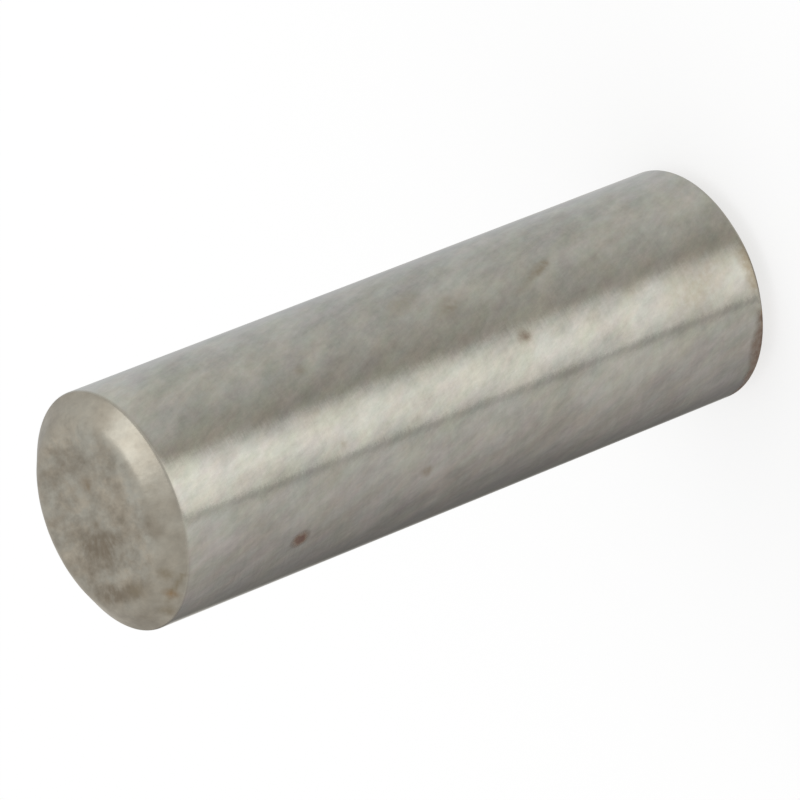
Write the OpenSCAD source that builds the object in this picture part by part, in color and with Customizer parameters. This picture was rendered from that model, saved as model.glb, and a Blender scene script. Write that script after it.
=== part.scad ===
// Parallel dowel pin: a solid ground steel cylinder with a softened chamfer at each end.
// It stands on its lower end face, with its axis on +Z and the origin at that face's centre.

/* [Shank] */
// Diameter of the ground shank, the pin's fit in a reamed hole
pin_d = 8; // [4:0.5:20]
// Overall length, from end face to end face
pin_l = 25; // [10:0.5:80]

/* [Chamfers] */
// How far each chamfer runs along the pin
chamfer_l = 0.65; // [0.3:0.05:1.5]
// How far each chamfer steps in from the shank's surface
chamfer_depth = 0.85; // [0.3:0.05:1.2]

/* [Edges] */
// Radius of the soft edge between the shank and a chamfer
rim_r = 0.15; // [0.05:0.05:0.6]
// Radius of the soft edge between a chamfer and its end face
face_r = 0.9; // [0.1:0.05:2]

/* [Hidden] */

$fn = 96;
steel_colour = [0.58, 0.57, 0.53];

shank_r = pin_d / 2;
// Radius at which the chamfer's cone meets the plane of the end face
cone_end_r = shank_r - chamfer_depth;
// Angle between the chamfer's cone and the pin's axis
chamfer_angle = atan2(chamfer_depth, chamfer_l);
// Each soft edge starts and ends this far from the sharp corner that it replaces
rim_setback = rim_r * tan(chamfer_angle / 2);
face_setback = face_r * tan((90 - chamfer_angle) / 2);

// Point on the chamfer's line, a distance along it from its sharp corner at the shank
function on_chamfer(distance) = [
    shank_r - distance * sin(chamfer_angle),
    chamfer_l - distance * cos(chamfer_angle)
];

// Half section of one end, from the end face at y = 0 up to the pin's middle
module end_section() {
    chamfer_slant = norm([chamfer_l, chamfer_depth]);
    flat_edge_r = cone_end_r - face_setback;
    polygon([
        [0, 0],
        [flat_edge_r, 0],
        on_chamfer(chamfer_slant - face_setback),
        on_chamfer(rim_setback),
        [shank_r, chamfer_l + rim_setback],
        [shank_r, pin_l / 2],
        [0, pin_l / 2]
    ]);
    // A wide soft edge stays inside the shank
    intersection() {
        translate([flat_edge_r, face_r])
            circle(face_r);
        square([shank_r, pin_l / 2]);
    }
    translate([shank_r - rim_r, chamfer_l + rim_setback])
        circle(rim_r);
}

// The whole pin, turned from one bar: both ends are alike, mirrored about mid-length
module dowel_pin() {
    color(steel_colour)
        rotate_extrude() {
            end_section();
            translate([0, pin_l])
                mirror([0, 1])
                    end_section();
        }
}

dowel_pin();
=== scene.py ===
import math

import bpy
import numpy as np
from mathutils import Matrix, Vector, noise


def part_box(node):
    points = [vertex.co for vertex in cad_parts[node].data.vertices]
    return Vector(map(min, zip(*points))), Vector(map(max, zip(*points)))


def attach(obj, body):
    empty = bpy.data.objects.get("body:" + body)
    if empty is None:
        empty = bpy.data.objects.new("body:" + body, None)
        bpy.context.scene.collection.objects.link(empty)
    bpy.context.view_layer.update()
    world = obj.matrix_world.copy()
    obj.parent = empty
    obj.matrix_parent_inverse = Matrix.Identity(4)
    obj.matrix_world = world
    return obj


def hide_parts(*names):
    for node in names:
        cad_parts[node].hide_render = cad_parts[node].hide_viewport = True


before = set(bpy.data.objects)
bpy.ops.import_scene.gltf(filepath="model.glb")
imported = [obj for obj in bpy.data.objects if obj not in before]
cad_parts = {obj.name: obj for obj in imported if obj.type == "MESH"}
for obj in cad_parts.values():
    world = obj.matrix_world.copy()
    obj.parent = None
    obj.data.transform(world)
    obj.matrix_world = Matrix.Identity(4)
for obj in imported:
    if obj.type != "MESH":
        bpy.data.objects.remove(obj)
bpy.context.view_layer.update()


# Dowel pin: one solid pin of steel, cut from bar, chamfered and tumbled soft at both ends,
# then ground to size on its round side alone, so the ends keep a dull and stained skin.
# It stands on its lower end, unfixed, and rust has begun on its lower rim and in a few spots.
MM = 0.001
low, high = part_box("dowel_pin")
pin_radius = min(high.x, high.y, -low.x, -low.y) / MM
pin_length = (high.z - low.z) / MM
chamfer_length = 0.65
chamfer_depth = 0.85
rim_round = 0.15
face_round = 0.9

# The chamfer's slope above the end face, the radius where that flat face stops, and where the side starts
chamfer_rise = math.atan2(chamfer_length, chamfer_depth)
face_edge = pin_radius - chamfer_depth - face_round * math.tan(chamfer_rise / 2)
side_start = chamfer_length + rim_round * math.tan((math.pi / 2 - chamfer_rise) / 2)

# Points round each ring, and rings along each stretch of the outline
segments = 256
face_rings = 30
round_rings = 10
chamfer_rings = 6
side_rings = 226


def steps(start, end, count):
    """Evenly spaced values from start to end, without start."""
    return np.linspace(start, end, count + 1)[1:]


def round_edge(centre_radius, centre_height, size, angles):
    """Rows of radius, height and outward angle, measured from straight down, round one soft edge."""
    radius = centre_radius + size * np.sin(angles)
    height = centre_height - size * np.cos(angles)
    return np.column_stack([radius, height, angles])


def end_outline():
    """Half section of the lower end, from near the axis out to the ground side."""
    flat_radius = steps(0, face_edge, face_rings)
    flat = np.column_stack([flat_radius, 0 * flat_radius, 0 * flat_radius])
    inner = round_edge(face_edge, face_round, face_round, steps(0, chamfer_rise, round_rings))
    rim_angles = np.linspace(chamfer_rise, math.pi / 2, round_rings)
    outer = round_edge(pin_radius - rim_round, side_start, rim_round, rim_angles)
    share = steps(0, 1, chamfer_rings)[:-1, None]
    slope = inner[-1] + share * (outer[0] - inner[-1])
    return np.vstack([flat, inner, slope, outer])


lower_end = end_outline()
upper_end = lower_end[::-1] * (1, -1, -1) + (0, pin_length, math.pi)
side_heights = steps(side_start, pin_length - side_start, side_rings)[:-1]
side = np.column_stack([0 * side_heights + pin_radius, side_heights, 0 * side_heights + math.pi / 2])
outline = np.vstack([lower_end, side, upper_end])


def spun(radius, height):
    """Rows of x, y and z for every point of every ring, from a radius and a height for each ring."""
    turns = np.arange(segments) * 2 * math.pi / segments
    rows = np.empty((len(outline), segments, 3))
    rows[..., 0] = radius[:, None] * np.cos(turns)
    rows[..., 1] = radius[:, None] * np.sin(turns)
    rows[..., 2] = height[:, None]
    return rows.reshape(-1, 3)


# The points and the ways they face: those of the rings, and last the centres of the two end faces
outline_radius, outline_height, outline_angle = outline.T
face_centres = [[0, 0, 0], [0, 0, pin_length]]
face_outward = [[0, 0, -1], [0, 0, 1]]
points = np.vstack([spun(outline_radius, outline_height), face_centres])
outward = np.vstack([spun(np.sin(outline_angle), -np.cos(outline_angle)), face_outward])

# Each point's turn in degrees from -Y towards -X, its distance from the axis, its height and its end
point_turn = np.degrees(np.arctan2(-points[:, 0], -points[:, 1]))
point_radius = np.hypot(points[:, 0], points[:, 1])
point_height = points[:, 2]
on_upper_end = point_height > pin_length - side_start
grinding_slant = math.radians(20)


def side_marks(marks):
    """Marks on the round side added up, each fading out to its edge and drawn out along the grinding.

    A mark has its turn in degrees, its height, its half length, its half width and its strength.
    """
    total = np.zeros(len(points))
    for turn, height, length, width, strength in marks:
        gap_turn = np.radians((point_turn - turn + 180) % 360 - 180) * pin_radius
        gap_height = point_height - height
        along = gap_height * math.cos(grinding_slant) + gap_turn * math.sin(grinding_slant)
        beside = gap_turn * math.cos(grinding_slant) - gap_height * math.sin(grinding_slant)
        total += strength * np.clip(1 - np.hypot(along / length, beside / width), 0, 1)
    return total


def end_marks(marks):
    """Marks on the upper end added up, each fading out to its edge.

    A mark has its x, its y, its half size along each of them and its strength.
    """
    total = np.zeros(len(points))
    for x, y, half_x, half_y, strength in marks:
        gap = np.hypot((points[:, 0] - x) / half_x, (points[:, 1] - y) / half_y)
        total += strength * np.clip(1 - gap, 0, 1) * on_upper_end
    return total


def lumps(per_mm):
    """Smooth noise between 0 and 1 for every point, with so many lumps to the millimetre."""
    return np.array([0.5 + 0.5 * noise.noise(Vector(point) * per_mm) for point in points])


def fade(values, start, end):
    """0 at start and 1 at end, straight between the two and held beyond them."""
    return np.clip((values - start) / (end - start), 0, 1)


# Rust: two spots on the ground side, two on the upper end, and a crust on part of the lower rim
side_rust = (
    (49, 19.85, 0.5, 0.36, 1.3),
    (-5, 10.0, 0.42, 0.38, 0.55),
)
end_rust = (
    (-3.09, -1.96, 0.3, 0.38, 0.5),
    (1.0, -0.25, 0.6, 0.65, 0.28),
)
crust_height = 1.13
crust_swell = 0.13
crust_swell_turn = 51
crust_swell_half = 10
crust_strength = 0.64
edge_raggedness = 0.3
rim_lumps = lumps(per_mm=1.3) - 0.5
near_rim = fade(point_radius + rim_lumps, start=3.2, end=3.6)
swollen = np.exp(-(((point_turn - crust_swell_turn) / crust_swell_half) ** 2))
crust_top = crust_height + crust_swell * swollen + edge_raggedness * rim_lumps
crust = fade(crust_top - point_height, start=0, end=0.3)
crust *= fade(point_turn, start=22, end=28) * fade(point_turn, start=106, end=82)
rust = side_marks(side_rust) + end_marks(end_rust) + crust_strength * crust * near_rim
rust = np.clip(rust, 0, 1)

# Brown film: a strip on the lower rim beside the crust, faint smears on the side, stains on the upper end
strip_height = 1.2
strip_turn = 4
strip_strength = 0.85
thickest_film = 1.2
side_film = (
    (-33, 8.1, 0.6, 0.3, 0.55),
    (-31, 8.6, 0.5, 0.2, 0.3),
    (-36, 7.7, 0.45, 0.25, 0.45),
    (-34, 8.3, 1.2, 0.7, 0.25),
    (-27, 9.2, 0.8, 0.25, 0.4),
    (-31, 11.9, 1.0, 0.7, 0.6),
    (-44, 13.2, 1.4, 0.7, 0.5),
    (-33, 15.7, 0.4, 0.3, 0.3),
    (-29, 18.1, 0.4, 0.3, 0.55),
    (-22, 17.3, 1.2, 0.5, 0.3),
    (-5, 10.0, 0.55, 0.5, 0.5),
    (-8, 18.4, 0.3, 0.25, 0.5),
    (10, 17.9, 0.5, 0.4, 0.5),
    (24, 18.5, 1.0, 0.8, 0.4),
    (32, 21.5, 0.8, 0.6, 0.35),
    (39, 14.8, 0.35, 0.3, 0.9),
    (3, 2.9, 2.8, 1.6, 0.55),
    (-8, 5.6, 1.2, 0.6, 0.4),
    (31, 4.0, 0.6, 0.4, 0.35),
    (118, 7.0, 1.0, 0.6, 0.5),
    (140, 16.5, 0.6, 0.4, 0.6),
    (165, 11.0, 1.3, 0.7, 0.45),
    (-100, 19.5, 0.9, 0.5, 0.5),
    (-128, 13.0, 0.4, 0.3, 0.7),
    (-150, 5.5, 1.2, 0.6, 0.5),
)
end_film = (
    (1.0, -0.25, 0.5, 0.55, 0.2),
    (0.3, -0.7, 0.5, 0.9, 0.25),
    (1.4, -2.3, 0.4, 0.5, 0.35),
    (-0.45, -1.55, 0.3, 0.45, 0.35),
    (-2.6, -0.65, 0.45, 0.9, 0.7),
    (-2.45, -2.4, 0.35, 0.45, 0.8),
    (-2.68, -2.80, 0.12, 0.2, 0.8),
    (-2.77, -2.62, 0.12, 0.2, 0.85),
    (-2.86, -2.44, 0.12, 0.2, 0.85),
    (-2.95, -2.26, 0.13, 0.2, 0.8),
    (-3.03, -2.10, 0.13, 0.2, 0.6),
    (-3.09, -1.96, 0.3, 0.45, 0.5),
    (-3.25, -1.65, 0.2, 0.3, 0.5),
    (-3.55, -1.25, 0.3, 0.5, 0.9),
)
strip_top = strip_height + edge_raggedness * rim_lumps
strip = fade(strip_top - point_height, start=0, end=0.42)
strip *= fade(np.abs(point_turn - strip_turn), start=16, end=8)
film = strip_strength * strip * near_rim + side_marks(side_film) + end_marks(end_film)
film = np.clip(film, 0, thickest_film)

# Grime: brown smears on the upper end, and cleaner places below 0
cleanest = -1
grimiest = 1.3
end_grime = (
    (2.05, 0.4, 0.7, 1.3, 0.45),
    (1.5, 2.0, 0.9, 0.9, 0.15),
    (1.6, -1.0, 0.5, 0.8, 0.1),
    (0.95, -1.6, 0.4, 0.5, 0.3),
    (1.4, -2.3, 0.35, 0.4, 0.25),
    (-0.45, -1.55, 0.35, 0.5, 0.3),
    (-0.9, -2.95, 0.6, 0.5, 0.4),
    (-1.0, 0.4, 1.0, 1.8, 1.1),
    (-0.3, 1.6, 0.6, 1.7, 0.1),
    (-0.95, -1.1, 0.45, 0.7, 0.35),
    (-0.2, 0.1, 0.2, 0.3, 0.6),
    (-0.75, 1.25, 0.3, 0.4, 0.3),
    (-2.5, 0.2, 0.55, 2.0, 0.9),
    (-2.45, 1.0, 0.5, 0.9, 0.75),
    (-1.9, 1.9, 0.5, 0.9, 0.4),
    (-3.5, 0.1, 0.5, 1.8, 0.4),
    (2.9, -0.7, 0.8, 1.6, -1.0),
    (2.0, -3.0, 1.8, 1.1, -0.9),
    (0.3, -3.6, 1.2, 0.6, -0.4),
    (0.25, -2.6, 1.0, 0.8, -0.6),
    (-0.4, -0.6, 0.3, 0.5, -0.5),
    (-1.6, -2.3, 0.6, 1.1, -0.4),
    (-1.0, -3.7, 0.5, 0.5, -0.3),
    (-2.0, -0.3, 0.35, 1.4, -0.7),
)
grime = np.clip(end_marks(end_grime), cleanest, grimiest)

# The real surface lies a little under the ideal one: grinding waves, tumbled ends, rust pits
wave_depth = 0.004
tumbled_depth = 0.010
pit_depth = 0.006
coarse_share = 0.6
even_share = 0.4
end_gap = pin_length / 2 - np.abs(point_height - pin_length / 2)
tumbled = fade(end_gap, start=side_start, end=chamfer_length / 2)
waves = lumps(per_mm=0.5)
dents = coarse_share * lumps(per_mm=1.7) + (1 - coarse_share) * lumps(per_mm=4.2)
pits = even_share + (1 - even_share) * lumps(per_mm=7.0)
relief = wave_depth * waves * (1 - tumbled) + tumbled_depth * dents * tumbled + pit_depth * pits * rust
points -= outward * relief[:, None]


def lathe_faces():
    """Quads between neighbouring rings, and a fan of triangles round each end's centre."""
    ring_count = len(outline)
    following = [(here + 1) % segments for here in range(segments)]
    faces = []
    for ring in range(ring_count - 1):
        base = ring * segments
        above = base + segments
        for here, after in enumerate(following):
            faces.append((base + here, base + after, above + after, above + here))
    last = (ring_count - 1) * segments
    lower_centre = ring_count * segments
    upper_centre = lower_centre + 1
    faces += [(lower_centre, after, here) for here, after in enumerate(following)]
    faces += [(upper_centre, last + here, last + after) for here, after in enumerate(following)]
    return faces


pin_mesh = bpy.data.meshes.new("ground_pin")
pin_mesh.from_pydata((points * MM).tolist(), [], lathe_faces())
pin_mesh.shade_smooth()
for name, values in (("rust", rust), ("film", film), ("grime", grime)):
    layer = pin_mesh.attributes.new(name, "FLOAT", "POINT")
    layer.data.foreach_set("value", values.astype(np.float32))
pin = bpy.data.objects.new("ground_pin", pin_mesh)
bpy.context.scene.collection.objects.link(pin)


class Wire:
    """A socket of a node tree. Arithmetic on it adds Math nodes, and node() adds any other node."""

    def __init__(self, tree, socket=None):
        self.tree = tree
        self.socket = socket

    def node(self, kind, settings, sockets, output=None):
        """Adds a node: its settings first, then a value or a link for each socket's identifier."""
        made = self.tree.nodes.new("ShaderNode" + kind)
        for name, value in settings.items():
            if name == "stops":
                self.set_stops(made.color_ramp.elements, value)
            else:
                setattr(made, name, value)
        inputs = {socket.identifier: socket for socket in made.inputs}
        for name, value in sockets.items():
            if isinstance(value, Wire):
                self.tree.links.new(value.socket, inputs[name])
            else:
                inputs[name].default_value = value
        outputs = [socket for socket in made.outputs if output in (None, socket.identifier)]
        return Wire(self.tree, outputs[0] if outputs else None)

    def set_stops(self, elements, stops):
        """Gives a new ramp, which has a stop at each end, its stops as pairs of place and colour."""
        for place, colour in stops[1:-1]:
            elements.new(place)
        for element, (place, colour) in zip(elements, stops):
            element.position = place
            element.color = colour

    def maths(self, operation, first, second):
        """Adds a Math node on two values or links."""
        return self.node("Math", {"operation": operation}, {"Value": first, "Value_001": second})

    def __add__(self, other):
        return self.maths("ADD", self, other)

    def __radd__(self, other):
        return self.maths("ADD", other, self)

    def __sub__(self, other):
        return self.maths("SUBTRACT", self, other)

    def __rsub__(self, other):
        return self.maths("SUBTRACT", other, self)

    def __mul__(self, other):
        return self.maths("MULTIPLY", self, other)

    def __rmul__(self, other):
        return self.maths("MULTIPLY", other, self)

    def __truediv__(self, other):
        return self.maths("DIVIDE", self, other)

    def __rtruediv__(self, other):
        return self.maths("DIVIDE", other, self)

    def __abs__(self):
        return self.maths("ABSOLUTE", self, 0)


def rise(wire, start, end):
    """0 below start, 1 above end, with a smooth step between."""
    sockets = {"Value": wire, "From Min": start, "From Max": end}
    return wire.node("MapRange", {"interpolation_type": "SMOOTHSTEP"}, sockets)


def mix(share, first, second):
    """A colour between two others."""
    sockets = {"Factor_Float": share, "A_Color": first, "B_Color": second}
    return share.node("Mix", {"data_type": "RGBA"}, sockets, "Result_Color")


def coordinate(vector, axis):
    """One coordinate of a place or a direction."""
    return vector.node("SeparateXYZ", {}, {"Vector": vector}, axis)


def stretch(vector, factors):
    """A place with each of its coordinates multiplied."""
    return vector.node("VectorMath", {"operation": "MULTIPLY"}, {"Vector": vector, "Vector_001": factors})


def turned(vector, angle):
    """A place turned about the pin's axis."""
    return vector.node("VectorRotate", {"rotation_type": "Z_AXIS"}, {"Vector": vector, "Angle": angle})


def shade(colour, level):
    """A colour made lighter or darker."""
    return level.node("VectorMath", {"operation": "SCALE"}, {"Vector": colour, "Scale": level})


def grain(place, scale, detail, roughness):
    """Cloudy noise around 0, with scale clouds to the millimetre."""
    sockets = {"Vector": place, "Scale": scale, "Detail": detail, "Roughness": roughness}
    return place.node("TexNoise", {}, sockets) - 0.5


def painted(wire, name):
    """A value painted on the mesh's points."""
    return wire.node("Attribute", {"attribute_name": name}, {}, "Fac")


# Colours of the ground steel, of the skin on its ends, and of the film and the rust on both
steel_rose = (0.642, 0.596, 0.510, 1)
steel_green = (0.604, 0.606, 0.502, 1)
steel_lilac = (0.634, 0.596, 0.546, 1)
steel_teal = (0.598, 0.606, 0.536, 1)
skin_warm = (0.685, 0.619, 0.504, 1)
skin_cool = (0.646, 0.624, 0.540, 1)
skin_brown = (0.358, 0.300, 0.226, 1)
film_brown = (0.41, 0.345, 0.245, 1)
rust_ochre = (0.44, 0.27, 0.125, 1)
rust_tan = (0.225, 0.160, 0.115, 1)
rust_red = (0.118, 0.062, 0.045, 1)

steel = bpy.data.materials.new("ground_steel")
steel.use_nodes = True
steel.node_tree.nodes.clear()
steel_start = Wire(steel.node_tree)

# Where a point of the surface lies, in millimetres
place = stretch(steel_start.node("TexCoord", {}, {}, "Object"), (1 / MM, 1 / MM, 1 / MM))
east = coordinate(place, "X")
north = coordinate(place, "Y")
height = coordinate(place, "Z")
radius = place.node("VectorMath", {"operation": "LENGTH"}, {"Vector": stretch(place, (1, 1, 0))}, "Value")

# Where the surface is the tumbled skin of an end, and where that is the flat end face
end_distance = pin_length / 2 - abs(height - pin_length / 2)
skin = 1 - rise(end_distance, start=0.60, end=0.78)
flat_face = 1 - rise(radius, start=2.7, end=3.3)

# Ground side: clouds drawn out along the grinding slant, fine strokes round the pin, a paler upper end
cloud_contrast = 0.85
blotch_contrast = 0.45
stroke_contrast = 0.15
paler_share = 0.12
cloud_stretch = (1, 1, 0.5)
stroke_stretch = (0.35, 0.35, 2.2)
red_stretch = (1, 1, 0.6)
blue_stretch = (0.8, 0.8, 0.5)
helix = turned(place, height * (math.tan(grinding_slant) / pin_radius))
clouds = grain(stretch(helix, cloud_stretch), scale=1.6, detail=5, roughness=0.75)
blotches = grain(stretch(helix, cloud_stretch), scale=0.45, detail=3, roughness=0.6)
strokes = grain(stretch(place, stroke_stretch), scale=2.2, detail=3, roughness=0.6)
red_clouds = grain(stretch(helix, red_stretch), scale=1.8, detail=4, roughness=0.7)
blue_clouds = grain(stretch(helix, blue_stretch), scale=1.5, detail=4, roughness=0.7)
redder = rise(red_clouds, start=-0.2, end=0.2)
bluer = rise(blue_clouds, start=-0.2, end=0.2)
paler = rise(height, start=pin_length - 3.0, end=pin_length - 1.2) * paler_share
ground_level = 1 + clouds * cloud_contrast + blotches * blotch_contrast
ground_level = ground_level + strokes * stroke_contrast + paler
ground = mix(bluer, mix(redder, steel_green, steel_rose), mix(redder, steel_teal, steel_lilac))
ground = shade(ground, ground_level)

# Tumbled ends: light grey skin that grime turns brown, in soft patches and in fine spokes
end_stretch = (1, 0.55, 1)
spokes_per_radian = 5.0
spoke_breaks_per_mm = 1.4
spoke_change_per_mm = 0.5
patch_weight = 1.2
mottle_weight = 1.8
spoke_weight = 0.4
chamfer_unevenness = 0.35
grime_weight = 0.95
grime_in_spokes = 3.2
fleck_contrast = 0.3
mottle_contrast = 0.35
usual_warmth = 0.4
chamfer_warmth_change = 0.3
spoke_sockets = {
    "X": east.maths("ARCTAN2", east, north) * spokes_per_radian,
    "Y": radius * spoke_breaks_per_mm,
    "Z": height * spoke_change_per_mm,
}
spoke_place = place.node("CombineXYZ", {}, spoke_sockets)
spokes = grain(spoke_place, scale=1.0, detail=3, roughness=0.6) * rise(radius, start=0.2, end=1.0)
drawn_out = stretch(place, end_stretch)
patches = grain(drawn_out, scale=0.8, detail=4, roughness=0.6)
mottle = grain(drawn_out, scale=2.0, detail=4, roughness=0.65)
flecks = grain(drawn_out, scale=4.2, detail=4, roughness=0.65)
warm = rise(grain(drawn_out, scale=1.5, detail=4, roughness=0.6), start=-0.15, end=0.15)
unevenness = patches * patch_weight + mottle * mottle_weight + spokes * spoke_weight
unevenness = unevenness * (chamfer_unevenness + flat_face * (1 - chamfer_unevenness))
cleanness = unevenness - painted(steel_start, "grime") * (grime_weight + spokes * grime_in_spokes)
warmth_change = chamfer_warmth_change + flat_face * (1 - chamfer_warmth_change)
warmth = usual_warmth + (warm - usual_warmth) * warmth_change
clean_skin = mix(warmth, skin_cool, skin_warm)
skin_level = 1 + flecks * fleck_contrast + mottle * mottle_contrast
dull = shade(mix(rise(cleanness, start=-1.12, end=0.72), skin_brown, clean_skin), skin_level)

# Brown film and rust, both with ragged edges, the rust darker and redder at its core
film_gain = 1.25
film_raggedness = 2.2
film_cloudiness = 1.6
film_cover = 0.9
rust_raggedness = 1.2
ragged = grain(place, scale=4.0, detail=4, roughness=0.6)
film_strength = film_gain + ragged * film_raggedness + clouds * film_cloudiness
film_share = rise(painted(steel_start, "film") * film_strength, start=0.0, end=1.3) * film_cover
rust_depth = painted(steel_start, "rust") * (1 + ragged * rust_raggedness)
rust_share = rise(rust_depth, start=0.0, end=0.8)
rust_crust = rise(rust_depth, start=0.3, end=0.9)
thin_rust = mix(skin, rust_tan, rust_ochre)
rust_colour = mix(rise(rust_depth, start=0.45, end=0.70), thin_rust, rust_tan)
rust_colour = mix(rise(rust_depth, start=0.45, end=1.0), rust_colour, rust_red)
colour = mix(skin, ground, dull)
colour = mix(film_share, colour, film_brown)
colour = mix(rust_share, colour, rust_colour)

# Finish: polished where it is ground, rougher on the skin, under the film and on the rust
ground_roughness = 0.105
cloud_roughness = 0.06
skin_roughness = 0.285
film_roughness = 0.08
rust_roughness = 0.4
crust_dullness = 0.9
bump_depth = 0.004
stroke_bump = 0.5
fleck_bump = 1.5
roughness = ground_roughness + clouds * cloud_roughness + skin * skin_roughness
roughness = roughness + film_share * film_roughness + rust_share * rust_roughness
bump_height = clouds + strokes * stroke_bump + skin * flecks * fleck_bump
bump_sockets = {"Strength": 1.0, "Distance": bump_depth * MM, "Height": bump_height}
surface_sockets = {
    "Base Color": colour,
    "Metallic": 1 - rust_crust * crust_dullness,
    "Roughness": roughness,
    "Normal": steel_start.node("Bump", {}, bump_sockets),
}
surface = steel_start.node("BsdfPrincipled", {}, surface_sockets)
steel_start.node("OutputMaterial", {}, {"Surface": surface})
pin_mesh.materials.append(steel)
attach(pin, "root")
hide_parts("dowel_pin")


# Floor: a plain white sheet that the pin stands on, wide enough to fill every view.
# Polished steel doesn't mirror it, because the studio's cards below stand in for it there.
floor_half = 1.5
floor_drop = 0.00001
floor_colour = (0.98, 0.98, 0.98, 1)
white_share = 0.7
floor_corners = [
    (-floor_half, -floor_half, -floor_drop),
    (floor_half, -floor_half, -floor_drop),
    (floor_half, floor_half, -floor_drop),
    (-floor_half, floor_half, -floor_drop),
]
floor_mesh = bpy.data.meshes.new("floor")
floor_mesh.from_pydata(floor_corners, [], [(0, 1, 2, 3)])
floor = bpy.data.objects.new("floor", floor_mesh)
bpy.context.scene.collection.objects.link(floor)
floor.visible_glossy = False
floor_material = bpy.data.materials.new("white_floor")
floor_material.use_nodes = True
floor_material.node_tree.nodes.clear()
floor_start = Wire(floor_material.node_tree)
floor_matt = floor_start.node("BsdfDiffuse", {}, {"Color": floor_colour})
floor_white = floor_start.node("Emission", {}, {"Color": (1, 1, 1, 1), "Strength": 1.0})
floor_seen = floor_start.node("LightPath", {}, {}, "Is Camera Ray") * white_share
floor_sockets = {"Fac": floor_seen, "Shader": floor_matt, "Shader_001": floor_white}
floor_surface = floor_start.node("MixShader", {}, floor_sockets)
floor_start.node("OutputMaterial", {}, {"Surface": floor_surface})
floor_mesh.materials.append(floor_material)


# Studio: a white tent that lights everything evenly, and a soft lamp high on the +X side.
# Polished steel mirrors the grey and white cards that stand round the pin, seen by glossy rays alone.
tent_level = 0.97
ceiling_level = 0.52
white = (1, 1, 1)
rosy = (1.0, 0.965, 0.985)
olive = (1.0, 0.97, 0.93)
bluish = (0.945, 0.965, 1.0)
# Degrees round the pin from the front, towards +X, how bright the cards are there, and their tint
cards = [
    (-180, 0.60, olive), (-168, 0.30, olive), (-160, 0.15, olive), (-140, 0.20, rosy), (-120, 0.28, rosy),
    (-75, 0.48, rosy), (-47, 0.575, white), (-41, 0.56, white), (-37.5, 0.43, white), (-34, 0.43, white),
    (-30, 0.71, white), (-10, 0.99, white), (-2, 0.99, white), (11, 0.79, white), (17, 0.62, white),
    (24, 0.41, olive), (31, 0.375, olive), (60, 0.48, white), (80, 0.53, white), (120, 0.57, bluish),
    (145, 0.60, bluish), (160, 0.57, bluish), (180, 0.60, olive),
]
# The side mirrors the cards between a low and a high angle from level, in degrees.
# They lean, and so are shifted by a share of a full turn at the low angle, and back at the high one.
low_angle = -39.3
high_angle = -27.3
card_shift = 6.8 / 360
shift_low = math.sin(math.radians(low_angle))
shift_high = math.sin(math.radians(high_angle))
world = bpy.data.worlds.new("studio")
world.use_nodes = True
world.node_tree.nodes.clear()
world.cycles.sampling_method = "NONE"
bpy.context.scene.world = world
sky = Wire(world.node_tree)
direction = sky.node("TexCoord", {}, {}, "Generated")
across = coordinate(direction, "X")
ahead = coordinate(direction, "Y")
upwards = coordinate(direction, "Z")
lean_sockets = {
    "Value": upwards,
    "From Min": shift_low,
    "From Max": shift_high,
    "To Min": card_shift,
    "To Max": -card_shift,
}
lean = upwards.node("MapRange", {}, lean_sockets)
bearing = across.maths("ARCTAN2", across, 0 - ahead) / (2 * math.pi) + 0.5 + lean
card_stops = []
for degrees, level, tint in cards:
    card_stops.append(((degrees + 180) / 360, (*(level * part for part in tint), 1)))
card_light = bearing.node("ValToRGB", {"stops": card_stops}, {"Fac": bearing}, "Color")
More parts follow.
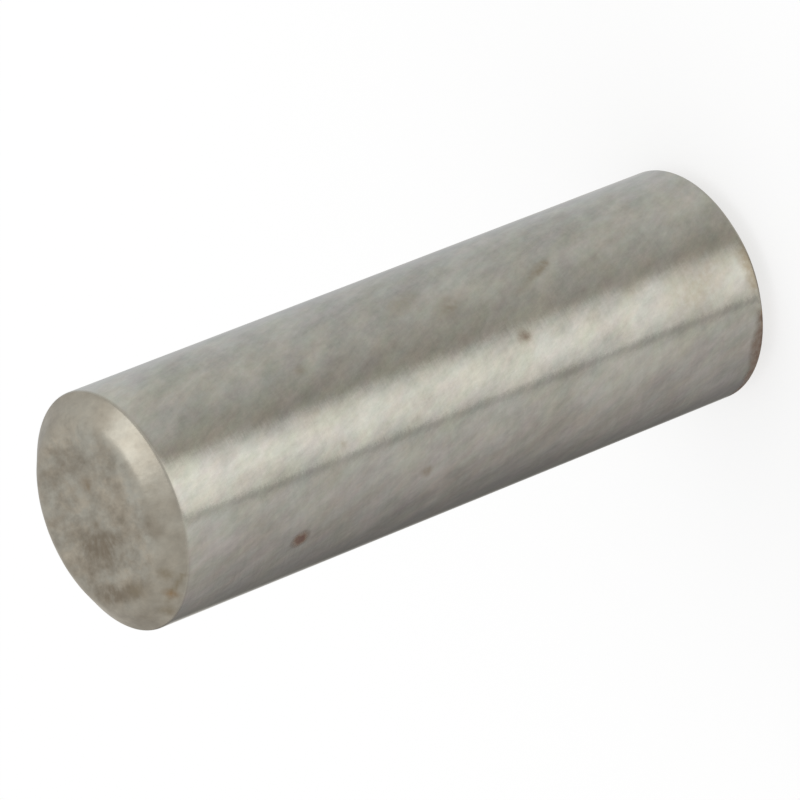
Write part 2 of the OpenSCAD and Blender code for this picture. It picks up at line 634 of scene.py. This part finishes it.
# The cards on the -X side, up to a quarter turn from the back, are paler at their top and foot
pale_gain = 0.3
shift_middle = (shift_low + shift_high) / 2
shift_half = (shift_high - shift_low) / 2
from_middle = abs(upwards - shift_middle) / shift_half
pale_ends = rise(from_middle, start=0.15, end=0.5) * (1 - rise(bearing, start=0.16, end=0.25))
card_light = shade(card_light, 1 + pale_ends * pale_gain)
ceiling = (ceiling_level, ceiling_level, ceiling_level, 1)
card_light = mix(rise(upwards, start=-0.15, end=0.15), card_light, ceiling)
ray = sky.node("LightPath", {}, {}, "Is Glossy Ray")
tent = (tent_level, tent_level, tent_level, 1)
background = sky.node("Background", {}, {"Color": mix(ray, tent, card_light), "Strength": 1.0})
sky.node("OutputWorld", {}, {"Surface": background})

lamp_distance = 0.25
lamp_length = 0.175
lamp_width = 0.13
lamp_power = 0.059
lamp_way = Vector((0.49, -0.05, 0.87)).normalized()
lamp_run = Vector((0.70, 0.62, -0.37))
lamp_run = (lamp_run - lamp_way * lamp_run.dot(lamp_way)).normalized()
lamp_data = bpy.data.lights.new("softbox", "AREA")
lamp_data.shape = "RECTANGLE"
lamp_data.size = lamp_length
lamp_data.size_y = lamp_width
lamp_data.energy = lamp_power
lamp = bpy.data.objects.new("softbox", lamp_data)
bpy.context.scene.collection.objects.link(lamp)
middle = Vector((0, 0, pin_length / 2 * MM))
lamp_facing = Matrix((lamp_run, lamp_way.cross(lamp_run), lamp_way)).transposed()
lamp.matrix_world = Matrix.Translation(middle + lamp_way * lamp_distance) @ lamp_facing.to_4x4()


# Camera: a long lens that looks down on the pin's front from 33 degrees above the floor.
# It is rolled until the standing pin lies slantwise in the picture, its upper end at the lower left.
picture_pixels = 800
focal_pixels = 7500
pixels_per_mm = 30.88
pin_offset_pixels = Vector((5.55, 5.0, 0))
view_tilt = math.radians(57.3)
view_roll = math.radians(-111.59)
camera_data = bpy.data.cameras.new("camera")
camera_data.lens = focal_pixels / picture_pixels * camera_data.sensor_width
camera = bpy.data.objects.new("camera", camera_data)
bpy.context.scene.collection.objects.link(camera)
facing = Matrix.Rotation(view_tilt, 3, "X") @ Matrix.Rotation(view_roll, 3, "Z")
pin_offset = pin_offset_pixels / pixels_per_mm * MM
camera_distance = focal_pixels / pixels_per_mm * MM
place_from_pin = facing @ (Vector((0, 0, camera_distance)) - pin_offset)
camera.matrix_world = Matrix.Translation(middle + place_from_pin) @ facing.to_4x4()
bpy.context.scene.camera = camera

bpy.context.scene.view_settings.view_transform = "Standard"
